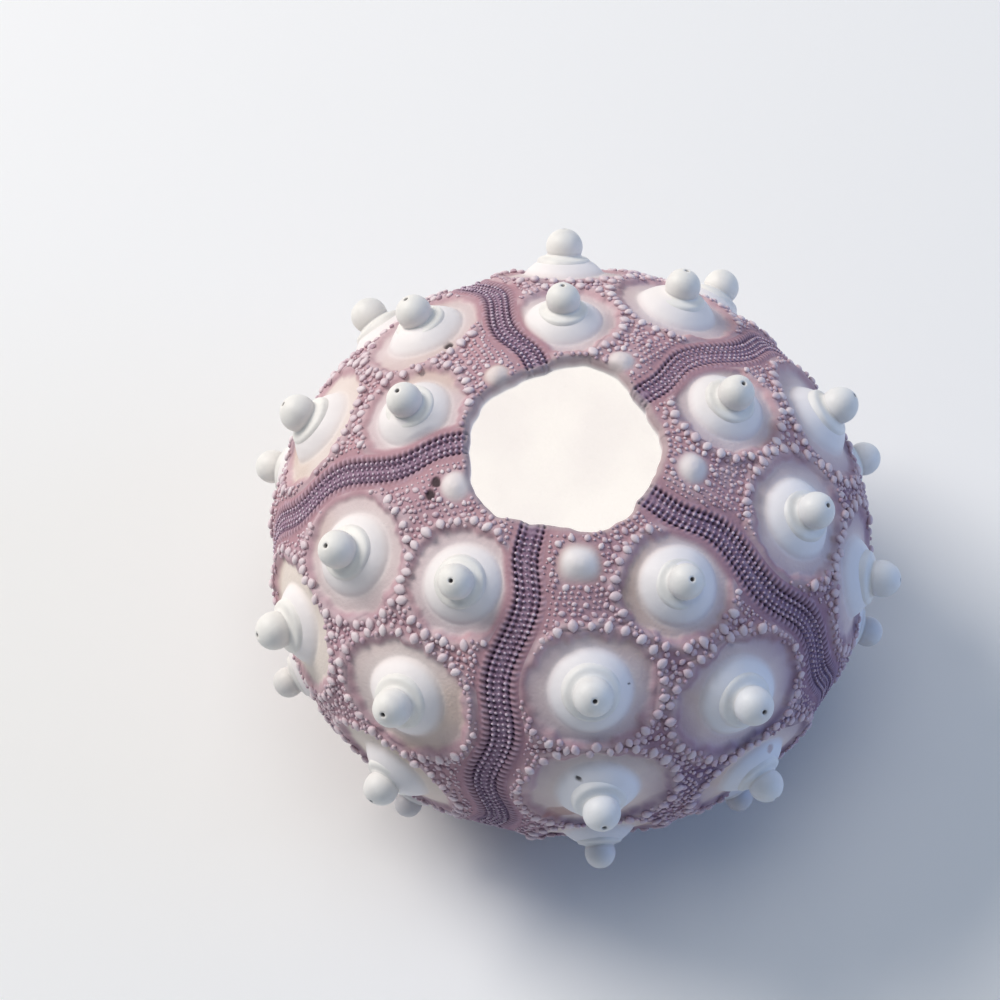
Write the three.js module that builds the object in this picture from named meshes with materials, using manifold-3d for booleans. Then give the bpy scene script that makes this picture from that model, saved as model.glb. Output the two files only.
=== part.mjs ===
// Sea urchin shell: the bare, hollow shell of a pencil urchin, grown as one piece.
// Millimetres, +Z up. The shell's axis is the Z axis and it stands on the plane z = 0.
import * as THREE from "three";
import { mergeVertices } from "three/addons/utils/BufferGeometryUtils.js";
import Module from "manifold-3d";

// Body curve: a flattened, slightly squared round, measured from the plane of its widest girth.
const GIRTH_RADIUS = 33;
const GIRTH_HEIGHT = 22.9;
const CROWN_HEIGHT = 22.9;
const BASE_DEPTH = 24.4;
const SIDE_POWER = 0.943;
const DOME_POWER = 0.922;
const WALL = 1.6;

// Apical opening at the top: five soft lobes, a little off the axis.
const APICAL_RADIUS = 10.04;
const APICAL_LOBE = 0.42;
const APICAL_SHIFT = 0.39;
const APICAL_SHIFT_AZIMUTH = 164;

// Mouth opening underneath. The shell flattens round it into the ring that it rests on.
const MOUTH_RADIUS = 11.9;
const REST_RADIUS = 14;
const REST_ANGLE = 155;

// Five sectors. Azimuths run anticlockwise from +X, seen from above.
const SECTORS = 5;
const SECTOR_ANGLE = 360 / SECTORS;
const FIRST_SECTOR = 2.87;
const COLUMN_OFFSET = 15.65;

// The growth pattern is laid out slightly unevenly about the axis.
const LEAN = 1.41;
const LEAN_AZIMUTH = -65.4;

// Each sector has two columns of tubercles. A row is its angle down from the top pole and its size.
const COLUMNS = [
  { side: -1, rows: [[47.5, 1], [77.2, 1], [102.2, 0.86], [125, 0.66], [144, 0.44]] },
  { side: 1, rows: [[31.8, 0.95], [62.1, 1], [91.4, 0.95], [114.5, 0.76], [135.5, 0.54]] },
];
const FIRST_KNOB_ANGLE = 21.2;

// Ambulacra: five sinuous pore bands between the sectors, each a shallow groove.
const BAND_HALF_WIDTH = 2.3;
const BAND_DEPTH = 0.55;
const BAND_SWING = 0.7;
const BAND_TURNS = [21.2, 31.8, 47.5, 62.1, 77.2, 91.4, 102.2, 114.5, 125, 135.5, 144, 160];

// Areoles: the shallow oval dish round each tubercle.
const AREOLE_WIDTH = 15.5;
const AREOLE_HEIGHT = 12.6;
const AREOLE_DEPTH = 0.5;

// One full-size tubercle, as radius and height above the surface: boss, platform, neck, round head.
const TUBERCLE = [
  [4.9, -0.35],
  [3.2, 1.25],
  [1.85, 1.4],
  [2.15, 2.5],
  [1.3, 3.95],
];
const TUBERCLE_TIP = 4.35;
const TUBERCLE_ROOT = -0.9;
const KNOB = [
  [2.4, -0.4],
  [1.7, 0.65],
];
const KNOB_TIP = 0.95;
const KNOB_ROOT = -0.8;

// Polar angle of a nominal apical edge, for laying the rows out before the edge's lobes are added.
const EDGE_ANGLE = 17;

// Mesh fineness.
const STEPS_PER_SECTOR = 14;
const OUTER_ROWS = 15;
const INNER_ROWS = 7;
const TUBERCLE_SIDES = 9;
const SMALL_SIZE = 0.8;
const SMALL_SIDES = 6;

const rad = THREE.MathUtils.degToRad;
const deg = THREE.MathUtils.radToDeg;

function signedPower(value, power) {
  return Math.sign(value) * Math.abs(value) ** power;
}

// Point of the body curve at polar angle t, as radius and height above the resting plane.
function bodyCurve(t) {
  const rise = signedPower(Math.cos(rad(t)), DOME_POWER);
  const reach = rise > 0 ? CROWN_HEIGHT : BASE_DEPTH;
  return new THREE.Vector2(
    GIRTH_RADIUS * Math.sin(rad(t)) ** SIDE_POWER,
    GIRTH_HEIGHT + reach * rise,
  );
}

// Outward normal of the body curve at polar angle t.
function bodyNormal(t) {
  const along = bodyCurve(t + 0.05).sub(bodyCurve(t - 0.05));
  return new THREE.Vector2(-along.y, along.x).normalize();
}

// Point in space at polar angle t and azimuth, sunk below the surface by depth.
function surfacePoint(t, azimuth, depth = 0) {
  const point = bodyCurve(t).addScaledVector(bodyNormal(t), -depth);
  const turn = rad(azimuth);
  return new THREE.Vector3(point.x * Math.cos(turn), point.x * Math.sin(turn), point.y);
}

function surfaceNormal(t, azimuth) {
  const normal = bodyNormal(t);
  const turn = rad(azimuth);
  return new THREE.Vector3(normal.x * Math.cos(turn), normal.x * Math.sin(turn), normal.y);
}

// Where the growth pattern's angles come to lie once its slight unevenness is added.
function grown(t, azimuth) {
  const turn = rad(azimuth - LEAN_AZIMUTH);
  return {
    t: t + LEAN * Math.cos(turn),
    azimuth: azimuth + (LEAN * Math.sin(turn)) / Math.tan(rad(t)),
  };
}

// Polar angle of the apical edge at an azimuth.
function apicalAngle(azimuth) {
  const lobes = APICAL_LOBE * Math.cos(rad(SECTORS * (azimuth - FIRST_SECTOR)));
  const shift = APICAL_SHIFT * Math.cos(rad(azimuth - APICAL_SHIFT_AZIMUTH));
  const radius = APICAL_RADIUS + lobes + shift;
  return deg(Math.asin((radius / GIRTH_RADIUS) ** (1 / SIDE_POWER)));
}

// Sideways swing of a pore band at polar angle t, in mm: it bends away from each tubercle in turn.
function bandSwing(t) {
  const last = BAND_TURNS.length - 2;
  const i = Math.min(Math.max(BAND_TURNS.findIndex((turn) => turn > t) - 1, 0), last);
  const part = THREE.MathUtils.clamp((t - BAND_TURNS[i]) / (BAND_TURNS[i + 1] - BAND_TURNS[i]), 0, 1);
  return -BAND_SWING * Math.cos(Math.PI * (i + part));
}

function sectorAzimuths() {
  return Array.from({ length: SECTORS }, (_, k) => FIRST_SECTOR + k * SECTOR_ANGLE);
}

// Every full tubercle's place on the body and size.
function tubercles() {
  return sectorAzimuths().flatMap((middle) =>
    COLUMNS.flatMap(({ side, rows }) =>
      rows.map(([t, size]) => ({ ...grown(t, middle + side * COLUMN_OFFSET), size })),
    ),
  );
}

// The small knob that starts the first column of each sector, beside the apical edge.
function knobs() {
  return sectorAzimuths().map((middle) => grown(FIRST_KNOB_ANGLE, middle - COLUMN_OFFSET));
}

// Depth of the areole dish at a surface place: deepest round the boss, fading to its oval edge.
function areoleDepth(t, azimuth, places) {
  const here = surfacePoint(t, azimuth);
  const deepest = places.reduce((most, place) => {
    const centre = surfacePoint(place.t, place.azimuth);
    const east = new THREE.Vector3(-Math.sin(rad(place.azimuth)), Math.cos(rad(place.azimuth)), 0);
    const away = here.clone().sub(centre);
    const across = away.dot(east);
    const alongSquared = Math.max(away.lengthSq() - across * across, 0);
    const width = (AREOLE_WIDTH * place.size) / 2;
    const height = (AREOLE_HEIGHT * place.size) / 2;
    const reach = (across / width) ** 2 + alongSquared / height ** 2;
    return Math.max(most, place.size * (1 - reach ** 2));
  }, 0);
  return AREOLE_DEPTH * deepest;
}

// The wall's closed profile as stations from the apical edge down the inside, round the
// resting ring and back up the outside. share runs 0 to 1 from the apical edge to that ring.
function wallStations() {
  const inside = Array.from({ length: INNER_ROWS }, (_, i) => ({
    share: i / (INNER_ROWS - 1),
    outer: false,
  }));
  const ring = [
    { radius: MOUTH_RADIUS, height: WALL },
    { radius: MOUTH_RADIUS, height: 0 },
    { radius: REST_RADIUS, height: 0 },
  ];
  const outside = Array.from({ length: OUTER_ROWS }, (_, i) => ({
    share: 1 - i / (OUTER_ROWS - 1),
    outer: true,
  }));
  return [outside.at(-1), ...inside, ...ring, ...outside];
}

// Azimuth of a step round the shell, bunched so that each pore band keeps its own width.
function stepAzimuth(step, t) {
  const band = Math.round(step / STEPS_PER_SECTOR);
  const fromBand = step - band * STEPS_PER_SECTOR;
  const radius = bodyCurve(t).x;
  const edge = deg(BAND_HALF_WIDTH / radius);
  const half = STEPS_PER_SECTOR / 2;
  const bandAzimuth = FIRST_SECTOR + SECTOR_ANGLE * (band + 0.5);
  const beyond = ((SECTOR_ANGLE / 2 - edge) * (Math.abs(fromBand) - 1)) / (half - 1);
  const offset = fromBand === 0 ? 0 : Math.sign(fromBand) * (edge + beyond);
  const swing = deg(bandSwing(t) / radius) * (1 - Math.abs(fromBand) / half);
  return { azimuth: bandAzimuth + offset + swing, inBand: fromBand === 0 };
}

function wallPoint(station, step, places) {
  if (station.radius !== undefined) {
    const turn = rad(stepAzimuth(step, REST_ANGLE).azimuth);
    const { radius, height } = station;
    return new THREE.Vector3(radius * Math.cos(turn), radius * Math.sin(turn), height);
  }
  const rough = THREE.MathUtils.lerp(EDGE_ANGLE, REST_ANGLE, station.share);
  const { azimuth: patternAzimuth, inBand } = stepAzimuth(step, rough);
  const azimuth = grown(rough, patternAzimuth).azimuth;
  const t = THREE.MathUtils.lerp(apicalAngle(azimuth), REST_ANGLE, station.share);
  if (!station.outer) {
    return surfacePoint(t, azimuth, WALL);
  }
  const groove = inBand ? BAND_DEPTH : 0;
  return surfacePoint(t, azimuth, groove + areoleDepth(t, azimuth, places));
}

// Hollow shell wall, revolved and then shaped vertex by vertex.
function wallGeometry(places) {
  const stations = wallStations();
  const nominal = stations.map(({ share, radius, height }) =>
    radius === undefined
      ? bodyCurve(THREE.MathUtils.lerp(EDGE_ANGLE, REST_ANGLE, share))
      : new THREE.Vector2(radius, height),
  );
  const steps = SECTORS * STEPS_PER_SECTOR;
  const geometry = new THREE.LatheGeometry(nominal, steps);
  const position = geometry.getAttribute("position");
  for (let i = 0; i < position.count; i += 1) {
    const step = Math.floor(i / stations.length) % steps;
    const point = wallPoint(stations[i % stations.length], step, places);
    position.setXYZ(i, point.x, point.y, point.z);
  }
  return geometry;
}

// Solid of revolution about +Z from radius and height pairs, root to tip, closed on the axis.
function turned(pairs, root, tip, size, sides) {
  const points = [
    new THREE.Vector2(0, root * size),
    ...pairs.map(([radius, height]) => new THREE.Vector2(radius * size, height * size)),
    new THREE.Vector2(0, tip * size),
  ];
  return new THREE.LatheGeometry(points, sides).rotateX(Math.PI / 2);
}

// Stand a solid of revolution on the body's surface, pointing straight out.
function seated(geometry, { t, azimuth }) {
  const up = new THREE.Vector3(0, 0, 1);
  const turn = new THREE.Quaternion().setFromUnitVectors(up, surfaceNormal(t, azimuth));
  const place = surfacePoint(t, azimuth, AREOLE_DEPTH / 2);
  const one = new THREE.Vector3(1, 1, 1);
  return geometry.applyMatrix4(new THREE.Matrix4().compose(place, turn, one));
}

function toManifold(wasm, geometry) {
  geometry.deleteAttribute("normal");
  geometry.deleteAttribute("uv");
  const merged = mergeVertices(geometry, 1e-4);
  return new wasm.Manifold(
    new wasm.Mesh({
      numProp: 3,
      vertProperties: new Float32Array(merged.getAttribute("position").array),
      triVerts: new Uint32Array(merged.index.array),
    }),
  );
}

function toGeometry(manifold) {
  const mesh = manifold.getMesh();
  const geometry = new THREE.BufferGeometry();
  geometry.setAttribute("position", new THREE.BufferAttribute(mesh.vertProperties, 3));
  geometry.setIndex(new THREE.BufferAttribute(mesh.triVerts, 1));
  geometry.computeVertexNormals();
  return geometry;
}

const wasm = await Module();
wasm.setup();

const places = tubercles();
let shell = toManifold(wasm, wallGeometry(places));
for (const place of places) {
  const sides = place.size < SMALL_SIZE ? SMALL_SIDES : TUBERCLE_SIDES;
  const solid = turned(TUBERCLE, TUBERCLE_ROOT, TUBERCLE_TIP, place.size, sides);
  shell = shell.add(toManifold(wasm, seated(solid, place)));
}
for (const place of knobs()) {
  const solid = turned(KNOB, KNOB_ROOT, KNOB_TIP, 1, SMALL_SIDES);
  shell = shell.add(toManifold(wasm, seated(solid, place)));
}

const material = new THREE.MeshStandardMaterial({ color: 0xcdb9bf, roughness: 0.78, metalness: 0 });
const urchinShell = new THREE.Mesh(toGeometry(shell), material);
urchinShell.name = "urchin_shell";

const part = new THREE.Group();
part.name = "sea_urchin_shell";
part.add(urchinShell);

export default part;
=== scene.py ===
"""Looks of a sea urchin shell: the bare, hollow shell of a pencil urchin, standing mouth down.

The shell is built in millimetres from one body curve and one growth pattern, and put into the
scene in metres. Polar angles t run down from the top pole and azimuths run anticlockwise from +X,
seen from above, both in degrees.
"""

import logging
from dataclasses import dataclass, field
from enum import Enum
from typing import Any, ClassVar

import bpy
import numpy as np
from mathutils import Matrix, Vector


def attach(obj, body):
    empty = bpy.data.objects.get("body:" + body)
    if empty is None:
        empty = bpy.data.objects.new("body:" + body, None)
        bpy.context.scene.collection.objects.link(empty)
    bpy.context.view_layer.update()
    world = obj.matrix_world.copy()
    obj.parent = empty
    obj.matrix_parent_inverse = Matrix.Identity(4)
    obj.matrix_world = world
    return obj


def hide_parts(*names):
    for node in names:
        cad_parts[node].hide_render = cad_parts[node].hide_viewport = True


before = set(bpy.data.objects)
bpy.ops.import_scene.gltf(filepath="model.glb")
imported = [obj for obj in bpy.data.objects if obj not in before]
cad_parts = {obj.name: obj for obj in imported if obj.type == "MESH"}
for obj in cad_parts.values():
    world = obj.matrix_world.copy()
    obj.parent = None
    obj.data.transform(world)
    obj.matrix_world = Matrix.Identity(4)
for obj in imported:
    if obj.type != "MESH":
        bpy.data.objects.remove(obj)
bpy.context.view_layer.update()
NODE = "urchin_shell"
MM = 0.001
Array = np.ndarray
log = logging.getLogger("sea_urchin_shell")


# ------------------------------------------------------------------ helpers
def smooth(low: float, high: float, value: Array) -> Array:
    """Step from 0 at low to 1 at high along 3x^2 - 2x^3; low may be above high.

    Args:
        low: value where the step starts.
        high: value where it ends.
        value: numbers to map.

    Returns:
        Numbers from 0 to 1.
    """
    x = np.clip((value - low) / (high - low), 0.0, 1.0)
    return x * x * (3.0 - 2.0 * x)


def bell(value: Array, width: float) -> Array:
    """Gaussian hump exp(-(value / width)^2)."""
    return np.exp(-((value / width) ** 2))


def srgb(red: int, green: int, blue: int) -> tuple[float, float, float, float]:
    """Linear colour of an 8-bit display colour."""
    c = np.array([red, green, blue]) / 255.0
    linear = np.where(c <= 0.04045, c / 12.92, ((c + 0.055) / 1.055) ** 2.4)
    return (*[float(x) for x in linear], 1.0)


class Ripple:
    """Smooth seeded unevenness: a sum of sine waves of random direction and phase."""

    def __init__(self, seed: int, wavelength: float, waves: int = 12) -> None:
        """Draw the waves.

        Args:
            seed: seed of the random draws.
            wavelength: middle wavelength, in mm.
            waves: how many waves are summed.
        """
        rng = np.random.default_rng(seed)
        direction = rng.normal(size=(waves, 3))
        direction /= np.linalg.norm(direction, axis=1, keepdims=True)
        length = wavelength * rng.uniform(0.7, 1.5, (waves, 1))
        self.wave = direction * (2 * np.pi / length)
        self.phase = rng.uniform(0, 2 * np.pi, waves)
        self.gain = np.sqrt(2.0 / waves)

    def at(self, points: Array) -> Array:
        """Unevenness at points, about -1 to 1: gain * sum of sin(wave . point + phase).

        Args:
            points: (..., 3) places in mm.

        Returns:
            One number for each point.
        """
        angle = np.einsum("...i,ki->...k", points, self.wave) + self.phase
        return self.gain * np.sin(angle).sum(-1)


# ------------------------------------------------------------------ body
@dataclass(frozen=True)
class Body:
    """The body curve with its two openings, in mm."""

    girth_radius: float = 33.0
    girth_height: float = 22.9
    crown_height: float = 22.9
    base_depth: float = 24.4
    side_power: float = 0.943
    dome_power: float = 0.922
    wall: float = 1.6
    apical_radius: float = 10.34
    apical_lobe: float = 0.42
    apical_middle: float = 2.87
    apical_shift: float = 0.69
    apical_shift_azimuth: float = 143.0
    apical_skew: float = 0.35
    apical_skew_azimuth: float = 75.0
    apical_bites: ClassVar[tuple[tuple[float, int, float], ...]] = (
        (0.08, 13, 0.7),
        (0.06, 22, 2.0),
        (0.06, 17, 4.1),
        (0.03, 37, 0.0),
    )
    apical_round: float = 0.55
    mouth_round: float = 0.35
    mouth_angle: float = 160.2
    ring_angle: float = 150.0
    rest_softness: float = 0.1
    edge_angle: float = 17.0

    def curve(self, t: Array) -> tuple[Array, Array]:
        """Radius R sin(t)^p and height Z + H sign(cos t)|cos t|^q, flattened where it rests.

        Args:
            t: polar angles.

        Returns:
            Radius and height above the resting plane.
        """
        s, c = np.sin(np.radians(t)), np.cos(np.radians(t))
        reach = np.where(c > 0, self.crown_height, self.base_depth)
        z = self.girth_height + reach * np.sign(c) * np.abs(c) ** self.dome_power
        z = 0.5 * (z + np.sqrt(z * z + self.rest_softness**2))
        return self.girth_radius * s**self.side_power, z

    def normal(self, t: Array) -> tuple[Array, Array]:
        """Outward unit normal of the curve as its radial and vertical parts."""
        step = 0.05
        r0, z0 = self.curve(t - step)
        r1, z1 = self.curve(t + step)
        length = np.hypot(r1 - r0, z1 - z0)
        return -(z1 - z0) / length, (r1 - r0) / length

    def frames(self, t: Array, azimuth: Array) -> tuple[Array, Array, Array, Array]:
        """Place, outward normal, east and south at each pair of angles."""
        r, z = self.curve(t)
        nr, nz = self.normal(t)
        turn = np.radians(azimuth)
        ca, sa = np.cos(turn), np.sin(turn)
        place = np.stack([r * ca, r * sa, z], -1)
        normal = np.stack([nr * ca, nr * sa, nz], -1)
        east = np.stack([-sa, ca, np.zeros_like(sa)], -1)
        return place, normal, east, np.cross(east, normal)

    def point(self, t: Array, azimuth: Array, height: Array | float = 0.0) -> Array:
        """Points at a height above the surface, along its normal."""
        place, normal, _, _ = self.frames(t, azimuth)
        return place + normal * np.asarray(height)[..., None]

    def arc(self, t: Array) -> Array:
        """Length along the curve from the top pole to each polar angle."""
        steps = np.linspace(0.0, 179.0, 1800)
        r, z = self.curve(steps)
        run = np.concatenate([[0.0], np.cumsum(np.hypot(np.diff(r), np.diff(z)))])
        return np.interp(t, steps, run)

    def angle_at(self, arc: Array) -> Array:
        """Polar angle at each length along the curve, the inverse of arc."""
        steps = np.linspace(0.0, 179.0, 1800)
        return np.interp(arc, self.arc(steps), steps)

    def apical_angle(self, azimuth: Array) -> Array:
        """Polar angle of the apical edge: radius plus five lobes, three broad ones, a shift and bites."""
        turn = np.radians(azimuth)
        lobes = self.apical_lobe * np.cos(5 * (turn - np.radians(self.apical_middle)))
        shift = self.apical_shift * np.cos(turn - np.radians(self.apical_shift_azimuth))
        skew = self.apical_skew * np.cos(3 * (turn - np.radians(self.apical_skew_azimuth)))
        bites = sum(depth * np.sin(count * turn + phase) for depth, count, phase in self.apical_bites)
        radius = self.apical_radius + lobes + shift + skew + bites
        return np.degrees(np.arcsin((radius / self.girth_radius) ** (1 / self.side_power)))

    def side_length(self) -> float:
        """Length along the curve from the apical edge to the mouth's edge, in mm."""
        return float(self.arc(np.array(self.mouth_angle)) - self.arc(np.array(self.edge_angle)))

    def share(self, t: Array) -> Array:
        """How far down the side a polar angle is: 0 at the apical edge to 1 at the mouth's edge."""
        return (t - self.edge_angle) / (self.mouth_angle - self.edge_angle)

    def at_share(self, share: Array) -> Array:
        """Polar angle of a share, the inverse of share."""
        return self.edge_angle + (self.mouth_angle - self.edge_angle) * share

    def rest_fade(self, t: Array) -> Array:
        """1 on the sides, 0 on the smooth ring that the shell rests on."""
        return smooth(self.ring_angle, self.ring_angle - 8.0, t)

    def edge_round(self, share: Array) -> Array:
        """Drop in mm that rounds the wall's outer corner at both openings."""
        length = self.side_length()
        drop = np.zeros_like(share)
        for run, radius in ((share * length, self.apical_round), ((1 - share) * length, self.mouth_round)):
            near = np.clip(1 - run / radius, 0, 1)
            drop += radius * (1 - np.sqrt(np.clip(1 - near**2, 0, 1)))
        return drop

    def worn(self, share: Array) -> Array:
        """How worn the outside is: 1 at the apical edge, 0 a short way from it."""
        return smooth(0.7, 0.1, share * self.side_length())

    def inner_face(self, t: Array, azimuth: Array, few: int) -> Array:
        """Points of the inner face, one for every few of a grid of angles."""
        return self.point(t[::few, ::few], azimuth[::few, ::few], -self.wall)


class Side(Enum):
    """Which column of a sector a tubercle stands in, seen from above."""

    CLOCKWISE = -1
    ANTICLOCKWISE = 1


@dataclass(frozen=True)
class Tubercle:
    """One tubercle's place on the body and its size."""

    t: float
    azimuth: float
    size: float
    knob: bool = False


@dataclass(frozen=True)
class Pattern:
    """How sectors, tubercles and pore bands are laid out on the body."""

    body: Body = field(default_factory=Body)
    sectors: int = 5
    first_sector: float = 2.87
    column_offset: float = 15.65
    lean: float = 1.41
    lean_azimuth: float = -65.4
    swing: float = 0.7
    rows: ClassVar[dict[Side, tuple[tuple[float, float], ...]]] = {
        Side.CLOCKWISE: ((47.5, 1.0), (77.2, 1.0), (102.2, 0.86), (125.0, 0.66), (144.0, 0.44)),
        Side.ANTICLOCKWISE: ((31.8, 0.95), (62.1, 1.0), (91.4, 0.95), (114.5, 0.76), (135.5, 0.54)),
    }
    knob_angle: float = 21.2
    knob_sizes: tuple[float, ...] = (0.75, 0.6, 0.58, 0.72, 0.95)

    def middle(self, sector: int) -> float:
        """Azimuth of a sector's middle."""
        return self.first_sector + 360.0 / self.sectors * sector

    def grown(self, t: Array, azimuth: Array) -> tuple[Array, Array]:
        """Angles once the pattern's slight lean is added: t + L cos a, azimuth + L sin a / tan t."""
        turn = np.radians(azimuth - self.lean_azimuth)
        return t + self.lean * np.cos(turn), azimuth + self.lean * np.sin(turn) / np.tan(np.radians(t))

    def tubercles(self, sector: int) -> list[Tubercle]:
        """Every tubercle of a sector, the small first knob last."""
        places = []
        for side, rows in self.rows.items():
            for row, size in rows:
                t, azimuth = self.grown(row, self.middle(sector) + side.value * self.column_offset)
                places.append(Tubercle(float(t), float(azimuth), size))
        t, azimuth = self.grown(self.knob_angle, self.middle(sector) - self.column_offset)
        places.append(Tubercle(float(t), float(azimuth), self.knob_sizes[sector], knob=True))
        return places

    def turns(self) -> Array:
        """Polar angles where a band's bend is at its furthest, one side and then the other."""
        rows = [row for column in self.rows.values() for row, _ in column]
        return np.array(sorted([self.knob_angle, *rows, self.body.mouth_angle]))

    def band_swing(self, t: Array, azimuth: float) -> Array:
        """Sideways bend of a pore band in mm: away from each neighbouring tubercle in turn."""
        turns = self.turns()
        at = t - self.lean * np.cos(np.radians(azimuth - self.lean_azimuth))
        phase = np.interp(at, turns, np.arange(len(turns)))
        return -self.swing * np.cos(np.pi * phase)

    def band_half_width(self, t: Array) -> Array:
        """Half width of a pore band in mm: wider where the shell is wider."""
        return 1.4 + 1.15 * self.body.curve(t)[0] / self.body.girth_radius

    def lay(self, share: Array, pattern_azimuth: Array) -> tuple[Array, Array]:
        """Angles of grid points.

        Args:
            share: 0 at the apical edge to 1 at the mouth's edge.
            pattern_azimuth: azimuth before the lean.

        Returns:
            Polar angle and azimuth on the body.
        """
        _, azimuth = self.grown(self.body.at_share(share), pattern_azimuth)
        edge = self.body.apical_angle(azimuth)
        return edge + (self.body.mouth_angle - edge) * share, azimuth

    def band_azimuth(self, band: int, share: Array, across: Array) -> Array:
        """Azimuth before the lean at a place across a pore band.

        Args:
            band: the band anticlockwise of the sector of this number.
            share: 0 at the apical edge to 1 at the mouth's edge.
            across: -1 at the band's clockwise edge to 1 at the other.

        Returns:
            Azimuths.
        """
        nominal = self.body.at_share(share)
        centre = self.middle(band) + 180.0 / self.sectors
        radius = self.body.curve(nominal)[0]
        shift = self.band_swing(nominal, centre) + self.band_half_width(nominal) * across
        return centre + np.degrees(shift / radius)


# ------------------------------------------------------------------ meshes
@dataclass
class MeshParts:
    """Points, faces and point attributes gathered for one mesh."""

    points: list[Array] = field(default_factory=list)
    faces: list[Array] = field(default_factory=list)
    values: dict[str, list[Array]] = field(default_factory=dict)
    count: int = 0

    def add(self, points: Array, faces: list[Array], **values: Array | float) -> int:
        """Add points, the faces between them and a number for each point under each name.

        Args:
            points: (..., 3) places in mm.
            faces: arrays of corner numbers, counted from this call's first point.
            values: attribute numbers, one for each point or one for all.

        Returns:
            Number of this call's first point.
        """
        flat = points.reshape(-1, 3)
        first = self.count
        self.points.append(flat)
        self.faces.extend(face.reshape(-1, face.shape[-1]) + first for face in faces)
        for name, value in values.items():
            full = np.broadcast_to(np.asarray(value, dtype=float).reshape(-1), (len(flat),))
            self.values.setdefault(name, []).append(full)
        self.count += len(flat)
        return first

    def sow(
        self,
        shape: tuple[Array, list[Array]],
        axes: Array,
        feet: Array,
        tone: Array,
        foot: tuple[float, float],
    ) -> None:
        """Add copies of a bead, each with a "tone" of its own and the painted shade at its foot marked as
        "foot".

        Args:
            shape: the bead's points, one set for all or one for each copy, and its faces.
            axes: (n, 3, 3) each copy's scaled axes.
            feet: (n, 3) where each copy stands.
            tone: one number for each copy.
            foot: heights on the bead where the painted shade at the foot starts and where it is full.
        """
        points, faces = scatter(*shape, axes, feet)
        size = points.shape[:2]
        # Painted shade at each bead's foot.
        foot_shade = np.broadcast_to(smooth(*foot, shape[0][..., 2]), size)
        self.add(points, faces, tone=np.broadcast_to(tone[:, None], size), foot=foot_shade)

    def build(self, name: str, material: bpy.types.Material, sharp: float = 70.0) -> bpy.types.Object:
        """Put everything into one mesh object that rides on the shell's body.

        Args:
            name: the piece's name.
            material: its finish.
            sharp: edges that bend more than this many degrees are shaded sharp.

        Returns:
            The new object.
        """
        mesh = bpy.data.meshes.new(name)
        points = np.concatenate(self.points) * MM
        loops = np.concatenate([face.ravel() for face in self.faces]).astype(np.int32)
        sizes = np.concatenate([np.full(len(face), face.shape[1]) for face in self.faces])
        starts = np.concatenate([[0], np.cumsum(sizes)[:-1]]).astype(np.int32)
        mesh.vertices.add(len(points))
        mesh.vertices.foreach_set("co", points.astype(np.float32).ravel())
        mesh.loops.add(len(loops))
        mesh.loops.foreach_set("vertex_index", loops)
        mesh.polygons.add(len(starts))
        mesh.polygons.foreach_set("loop_start", starts)
        mesh.update(calc_edges=True)
        mesh.shade_smooth()
        mesh.set_sharp_from_angle(angle=np.radians(sharp))
        for key, arrays in self.values.items():
            layer = mesh.attributes.new(key, "FLOAT", "POINT")
            layer.data.foreach_set("value", np.concatenate(arrays).astype(np.float32))
        mesh.materials.append(material)
        piece = bpy.data.objects.new(name, mesh)
        bpy.context.scene.collection.objects.link(piece)
        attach(piece, "root")
        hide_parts(NODE)
        triangles = int((sizes - 2).sum())
        log.info("%s: %d points, %d triangles", name, len(points), triangles)
        return piece


def quads(rows: int, columns: int, inward: bool = False) -> Array:
    """Faces of a grid of points, numbered row by row, facing out or in."""
    i, j = np.meshgrid(np.arange(rows - 1), np.arange(columns - 1), indexing="ij")
    a = i * columns + j
    ring = [a, a + 1, a + columns + 1, a + columns]
    return np.stack(ring if inward else [ring[0], ring[3], ring[2], ring[1]], -1).reshape(-1, 4)


def stitch(fine: Array, coarse: Array, forward: bool) -> Array:
    """Triangles that join a fine row of points to a coarse one, fans from each coarse point.

    Args:
        fine: point numbers, a whole number of steps for each coarse step.
        coarse: point numbers of the coarse row.
        forward: True if the faces look out with the fine row in its own order.

    Returns:
        (n, 3) corner numbers.
    """
    steps = len(coarse) - 1
    ratio = (len(fine) - 1) // steps
    step, part = np.meshgrid(np.arange(steps), np.arange(ratio), indexing="ij")
    at = step * ratio + part
    fan = np.stack([fine[at], fine[at + 1], coarse[step + (part >= ratio // 2)]], -1).reshape(-1, 3)
    q = np.arange(steps)
    gap = np.stack([fine[q * ratio + ratio // 2], coarse[q + 1], coarse[q]], -1)
    faces = np.concatenate([fan, gap])
    return faces if forward else faces[:, ::-1]


def slab(parts: MeshParts, outer: Array, inner: Array, **values: Array) -> None:
    """Close a fine outer grid and a coarse inner grid into one solid with stitched sides.

    Args:
        parts: gatherer that takes the solid.
        outer: (rows, columns, 3) outer points, a whole multiple of steps finer than inner.
        inner: (rows, columns, 3) inner points.
        values: attribute arrays of the outer points; inner points take "inside" 1, the rest 0.
    """
    rows, columns = outer.shape[:2]
    few_rows, few_columns = inner.shape[:2]
    first = parts.add(outer, [quads(rows, columns)], inside=0.0, **values)
    blank = dict.fromkeys(values, 0.0)
    second = parts.add(inner, [quads(few_rows, few_columns, inward=True)], inside=1.0, **blank)
    a = first + np.arange(rows * columns).reshape(rows, columns)
    b = second + np.arange(few_rows * few_columns).reshape(few_rows, few_columns)
    parts.faces += [
        stitch(a[0], b[0], True),
        stitch(a[-1], b[-1], False),
        stitch(a[:, 0], b[:, 0], False),
        stitch(a[:, -1], b[:, -1], True),
    ]


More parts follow.
